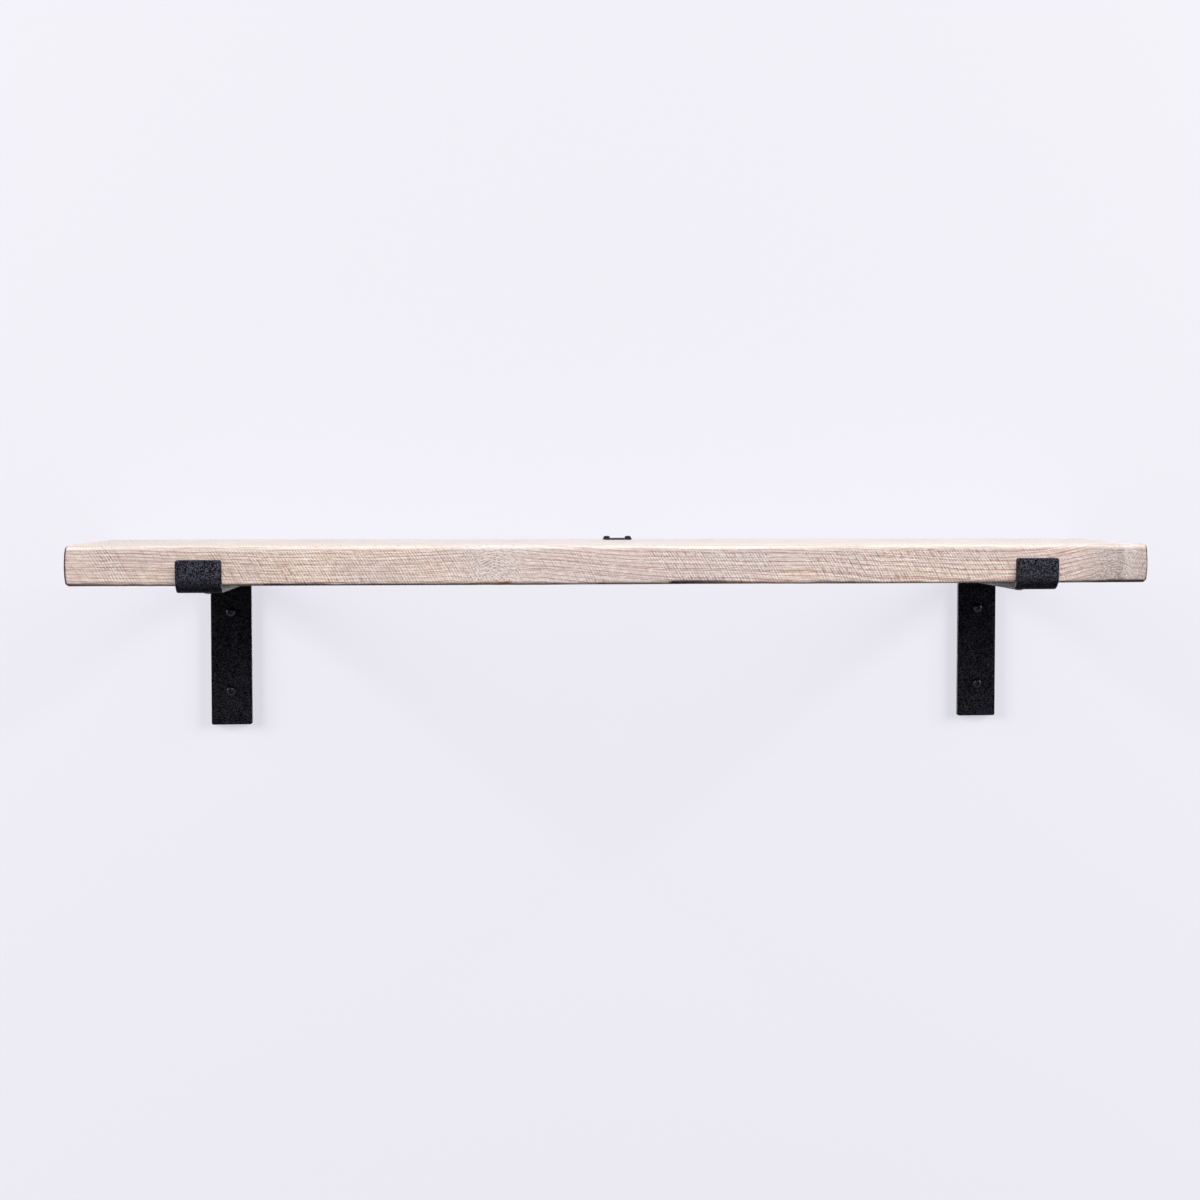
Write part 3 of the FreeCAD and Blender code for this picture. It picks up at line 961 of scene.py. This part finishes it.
def black_phosphate():
    """Make the screws' satin black finish, slightly uneven."""
    material, tree = new_material("black_phosphate")
    spot = add(tree, "TexCoord", {}).outputs["Object"]
    cloud = add(tree, "TexNoise", {"Vector": spot, "Scale": 1 / (PHOSPHATE_CLOUD * MM)})
    roughness = add(tree, "MapRange", {"Value": cloud, "To Min": PHOSPHATE_ROUGHNESS[0],
                                       "To Max": PHOSPHATE_ROUGHNESS[1]})
    shader = add(tree, "BsdfPrincipled", {"Base Color": linear(PHOSPHATE_BLACK), "IOR": PHOSPHATE_IOR,
                                          "Specular IOR Level": PHOSPHATE_SPECULAR_LEVEL,
                                          "Roughness": roughness})
    add(tree, "OutputMaterial", {"Surface": shader})
    return material


phosphate = black_phosphate()
print("Made", phosphate.name)

# %% [markdown]
# ## The screws' shape
#
# A pan head is a low dome with a cross recess. The shank is a thread: a ridge that winds round a core.
# Threads are often faked with stacked rings. Here one grid of points goes round and down the screw, and
# each point's radius follows the helix, so that the ridge really winds. Crossed, tapering wedges cut the
# recess. A screw's sizes are, in this order: its head's diameter and height, its shank's diameter and
# length, its thread's pitch, and the length of the plain part below the head.

# %% Screw meshes
AROUND = 32
ANGLES = np.arange(AROUND) / AROUND * TURN
THREAD_STEPS_PER_PITCH = 6
HEAD_STEPS = 12
CROWN_ANGLE = 0.06
CROWN_POWER = 0.9
RIM_SHARE = 0.38
RIM_EDGE_SHARES = (0.25, 0.12)
CORE_SHARE = 0.76
NECK_TOP = -0.01
RIDGE_STEEPNESS = 3.4
POINT_LENGTH_SHARE = 1.3
POINT_POWER = 0.8
TIP_SHARE = 0.04


def lathe(radii, heights):
    """Return the mesh of a turned shape, from each ring's radius at each angle and its height, top down."""
    points = np.stack([radii * np.cos(ANGLES), radii * np.sin(ANGLES), heights + 0 * radii], axis=2)
    rings = np.arange(radii.size).reshape(radii.shape)
    following = np.roll(rings, -1, axis=1)
    quads = np.stack([rings[:-1], rings[1:], following[1:], following[:-1]], axis=2).reshape(-1, 4)
    return mesh_from(points.reshape(-1, 3), quads.tolist() + [rings[0].tolist(), rings[-1][::-1].tolist()])


def head_profile(diameter, height):
    """Return the dome of a pan head: a rounded rim and a low arc over it."""
    rim = height * RIM_SHARE
    rise, inset = (rim * share for share in RIM_EDGE_SHARES)
    angles = np.linspace(CROWN_ANGLE, quarter, HEAD_STEPS)
    dome = [(diameter / 2 * math.sin(a) ** CROWN_POWER, rim + (height - rim) * math.cos(a)) for a in angles]
    return dome + [(diameter / 2, rise), (diameter / 2 - inset, 0)]


def screw_mesh(head_diameter, head_height, shank_diameter, shank_length, pitch, plain_length):
    """Return a screw's mesh: its head stands on the XY plane, upwards, and its shank hangs below."""
    core_radius = shank_diameter / 2 * CORE_SHARE
    point_length = shank_diameter * POINT_LENGTH_SHARE
    steps = round((shank_length - plain_length) / pitch * THREAD_STEPS_PER_PITCH)
    profile = head_profile(head_diameter, head_height)
    profile += [(core_radius, NECK_TOP), (core_radius, -plain_length)]
    plain_rings = len(profile)
    profile += [(core_radius, height) for height in np.linspace(-plain_length, -shank_length, steps)[1:]]
    radii, heights = np.array(profile).T[:, :, None]
    turns = (heights / pitch + ANGLES / TURN) % 1
    ridge = np.clip(1 - np.abs(turns - 0.5) * RIDGE_STEEPNESS, 0, 1)
    to_point = np.clip((heights + shank_length) / point_length, TIP_SHARE, 1)
    threaded = (core_radius + (shank_diameter / 2 - core_radius) * ridge) * to_point ** POINT_POWER
    threaded[:plain_rings] = radii[:plain_rings]
    return lathe(threaded, heights)


print("A screw's grid has", AROUND, "points round it")

# %% Cross recess
RECESS_SPAN_SHARE = 0.5
RECESS_WIDTH_SHARE = 0.19
RECESS_DEPTH_SHARE = 0.66
WEDGE_TOP_SHARES = (1.2, 1.15, 1.25)
WEDGE_FLOOR_SHARES = (0.42, 0.7)
CORNER_SIGNS = ((-1, -1), (1, -1), (1, 1), (-1, 1))


def wedge_mesh(levels, turn):
    """Return a wedge with a rectangle at each of two levels, as (height, long side, short side) in mm."""
    corners = [Matrix.Rotation(turn, 3, "Z") @ (Vector((sx * length / 2, sy * width / 2, height)) * MM)
               for height, length, width in levels for sx, sy in CORNER_SIGNS]
    sides = [(step, step + 4, (step + 1) % 4 + 4, (step + 1) % 4) for step in range(4)]
    mesh = bpy.data.meshes.new("wedge")
    mesh.from_pydata(corners, [], [(0, 1, 2, 3), (7, 6, 5, 4)] + sides)
    return mesh


def cut_recess(mesh, head_diameter, head_height):
    """Cut a cross recess into a screw's head with two crossed wedges that taper to its bottom."""
    span = head_diameter * RECESS_SPAN_SHARE
    width = head_diameter * RECESS_WIDTH_SHARE
    depth = head_height * RECESS_DEPTH_SHARE
    rise, longer, wider = WEDGE_TOP_SHARES
    shorter, narrower = WEDGE_FLOOR_SHARES
    levels = ((head_height * rise, span * longer, width * wider),
              (head_height - depth, span * shorter, width * narrower))
    blank = scratch_object(mesh)
    for turn in (0, quarter):
        cut(blank, scratch_object(wedge_mesh(levels, turn)))
    finished = blank.data
    bpy.data.objects.remove(blank)
    finished.shade_smooth()
    finished.set_sharp_from_angle(angle=SHARP_ANGLE)
    return finished


print("A recess spans", RECESS_SPAN_SHARE, "of its head")

# %% Screws in place
SCREWS = {"wall": (10.0, 3.6, 5.0, 50.0, 2.5, 6.2),
          "arm": (10.0, 3.6, 4.5, 30.0, 2.2, 6.2),
          "plate": (6.4, 2.4, 3.5, 16.0, 1.6, 1.8)}
HEAD_AXES = {"wall": (0, -1, 0), "arm": (0, 0, -1), "plate": (0, 0, 1)}
SCREW_TURNS = {"wall": {"left_upper": 0.35, "left_lower": 0.9, "right_upper": 1.2, "right_lower": 0.15},
               "arm": {"left_front": 0.5, "left_rear": 1.1, "right_front": 0.8, "right_rear": 0.2},
               "plate": {"left": 0.6, "right": 1.3}}


def place_screw(node, finished, axis, head_height, turn):
    """Copy a screw's mesh to its node's place, along an axis out of the head, turned as tightened."""
    low, high = node_box(node)
    seat = (low + high) / 2
    along = int(np.argmax(np.abs(axis)))
    seat[along] = high[along] - head_height if axis[along] > 0 else low[along] + head_height
    mesh = finished.copy()
    mesh.transform(standing(seat, axis) @ Matrix.Rotation(turn, 4, "Z"))
    place_piece(f"{node}_threaded", mesh, node, phosphate)


for kind, sizes in SCREWS.items():
    head_diameter, head_height = sizes[:2]
    finished_mesh = cut_recess(screw_mesh(*sizes), head_diameter, head_height)
    for place, turn in SCREW_TURNS[kind].items():
        place_screw(f"{kind}_screw_{place}", finished_mesh, HEAD_AXES[kind], head_height, turn)
    print(kind, "screws have", len(finished_mesh.vertices), "points each")

# %% [markdown]
# ## The stage: a pale wall and floor
#
# The shelf needs a wall to cast its soft shadow on, but a solid one would hide its back from a camera
# behind. So the wall is one-sided: rays that meet its front see it, and the rest pass through. Part of its
# brightness is its own light, as in a studio shot whose background is lit apart, so that the shadows stay
# faint. The floor works the same way, and both fade out into the room, as a paper sweep does.

# %% Wall and floor
BACKDROP_COLOUR = "#F4F2FA"
GLOW_COLOUR = "#F0EFFB"
WALL_SHARES = {"glow": 0.645, "paint": 0.12}
FLOOR_SHARES = {"glow": 0.8, "paint": 0.13}
STAGE_SIZE = 24000
SWEEP = (800, 2600)
WALL_GAP = 0.3
FLOOR_DROP = 700


def shade(hex_colour, share):
    """Return a share of a colour's light."""
    return [channel * share for channel in linear(hex_colour)[:3]] + [1.0]


def seen_rays(tree):
    """Return 1 for rays that show a background: the camera's, and those that gloss and glass send on."""
    paths = add(tree, "LightPath", {}).outputs
    mirrored = add(tree, "Math", {0: paths["Is Glossy Ray"], 1: paths["Is Transmission Ray"]},
                   operation="ADD")
    return add(tree, "Math", {0: mirrored, 1: paths["Is Camera Ray"]}, operation="ADD", use_clamp=True)


def backdrop(name, shares):
    """Make a one-sided pale backdrop, partly lit by the lamps, that ends within the sweep."""
    material, tree = new_material(name)
    behind = add(tree, "NewGeometry", {}).outputs["Backfacing"]
    in_front = add(tree, "Math", {0: seen_rays(tree), 1: behind}, operation="SUBTRACT", use_clamp=True)
    spot = add(tree, "TexCoord", {}).outputs["Object"]
    distance = add(tree, "VectorMath", {0: spot}, operation="LENGTH").outputs["Value"]
    solid = add(tree, "MapRange", {"Value": distance, "From Min": SWEEP[0] * MM, "From Max": SWEEP[1] * MM,
                                   "To Min": in_front, "To Max": 0.0})
    lit = add(tree, "BsdfDiffuse", {"Color": shade(BACKDROP_COLOUR, shares["paint"])})
    glow = add(tree, "Emission", {"Color": shade(GLOW_COLOUR, shares["glow"]), "Strength": 1.0})
    surface = add(tree, "AddShader", {0: lit, 1: glow})
    clear = add(tree, "BsdfTransparent", {})
    mixed = add(tree, "MixShader", {0: solid, 1: clear, 2: surface})
    add(tree, "OutputMaterial", {"Surface": mixed})
    return material


def stage_plane(name, corners, shares):
    """Make a flat backdrop from four corners in millimetres, seen from the side that they go round."""
    mesh = mesh_from(np.array(corners), [(0, 1, 2, 3)])
    mesh.materials.append(backdrop(f"{name}_paint", shares))
    plane = bpy.data.objects.new(name, mesh)
    bpy.context.scene.collection.objects.link(plane)
    plane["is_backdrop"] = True
    return plane


half = STAGE_SIZE / 2
wall = stage_plane("wall", ((-half, WALL_GAP, -FLOOR_DROP), (half, WALL_GAP, -FLOOR_DROP),
                            (half, WALL_GAP, half), (-half, WALL_GAP, half)), WALL_SHARES)
stage_plane("floor", ((-half, -half, -FLOOR_DROP), (half, -half, -FLOOR_DROP),
                      (half, half, -FLOOR_DROP), (-half, half, -FLOOR_DROP)), FLOOR_SHARES)
print("The wall faces", tuple(round(v) for v in wall.data.polygons[0].normal))

# %% [markdown]
# ## Light
#
# The photograph was lit by large soft sources. Here a wide lamp hangs high in front, a small one near the
# middle fills the front from lower down, and one stands off each end. Two more behind the wall, which lets
# their light pass, show the back and the edges that turn away. The wall is lit apart, so that it shows no
# shadow of the plank and only soft shade beside the legs. Light linking does that: a lamp with a list of
# receivers lights only those, and one with a list of blockers is held back only by those. Each lamp's row
# says its place and size in mm and its power in watts.

# %% Lamps
LAMPS = {
    "key": ((300, -1500, 1850), (2200, 800), 64.5),
    "fill": ((-250, -1900, 950), (900, 600), 10),
    "back": ((300, 2100, 300), (3000, 2000), 27),
    "edge": ((-45, 2100, -125), (400, 700), 28),
    "left_end": ((-2200, -300, 600), (900, 900), 18),
    "right_end": ((2200, -300, 600), (900, 900), 18),
}
WALL_LAMPS = {
    "wash_left": ((-5000, -1300, 1800), (3400, 3200), 1880),
    "wash_right": ((5000, -1300, 1800), (3400, 3200), 1880),
}
WASH_COLOUR = "#FCFDF3"
AIM = (0, -100, 60)


def add_lamp(name, place, size, power):
    """Add a rectangular soft lamp that faces the shelf."""
    lamp_data = bpy.data.lights.new(name, "AREA")
    lamp_data.shape = "RECTANGLE"
    lamp_data.size, lamp_data.size_y = (side * MM for side in size)
    lamp_data.energy = power
    lamp = bpy.data.objects.new(name, lamp_data)
    lamp.location = Vector(place) * MM
    lamp.rotation_euler = (Vector(AIM) - Vector(place)).to_track_quat("-Z", "Y").to_euler()
    lamp.visible_camera = False
    bpy.context.scene.collection.objects.link(lamp)
    return lamp


def light_list(name, members):
    """Make a collection that a lamp's receivers or blockers can be read from."""
    listed = bpy.data.collections.new(name)
    for member in members:
        listed.objects.link(member)
    return listed


not_wall = light_list("not_wall", [wall])
not_wall.collection_objects[0].light_linking.link_state = "EXCLUDE"
only_wall = light_list("only_wall", [wall])
only_brackets = light_list("only_brackets", [bpy.data.objects["left_flat_bar"],
                                             bpy.data.objects["right_flat_bar"]])
for name, row in LAMPS.items():
    add_lamp(name, *row).light_linking.receiver_collection = not_wall
for name, row in WALL_LAMPS.items():
    wash = add_lamp(name, *row)
    wash.data.color = linear(WASH_COLOUR)[:3]
    wash.light_linking.receiver_collection = only_wall
    wash.light_linking.blocker_collection = only_brackets
print("Lamps:", ", ".join(list(LAMPS) + list(WALL_LAMPS)))

# %% World
ROOM_COLOUR = "#FBFAFF"
ROOM_STRENGTH = 0.08

world = bpy.data.worlds.new("room")
bpy.context.scene.world = world
world.use_nodes = True
room = world.node_tree
room.nodes.clear()
seen_room = add(room, "Background", {"Color": linear(BACKDROP_COLOUR), "Strength": 1.0})
lighting_room = add(room, "Background", {"Color": linear(ROOM_COLOUR), "Strength": ROOM_STRENGTH})
chosen = add(room, "MixShader", {0: seen_rays(room), 1: lighting_room, 2: seen_room})
add(room, "OutputWorld", {"Surface": chosen})
print("The room lights at", ROOM_STRENGTH, "of white")

# %% [markdown]
# ## Finishing
#
# The picture is shown as rendered, with no film curve over it.

# %% View settings and sizes
bpy.context.scene.view_settings.view_transform = "Standard"
dressed_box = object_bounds()
sizes = {"cad": [list(corner) for corner in cad_box], "visual": [list(corner) for corner in dressed_box]}
print("Packed box:", sizes["cad"])
print("Dressed box:", sizes["visual"])
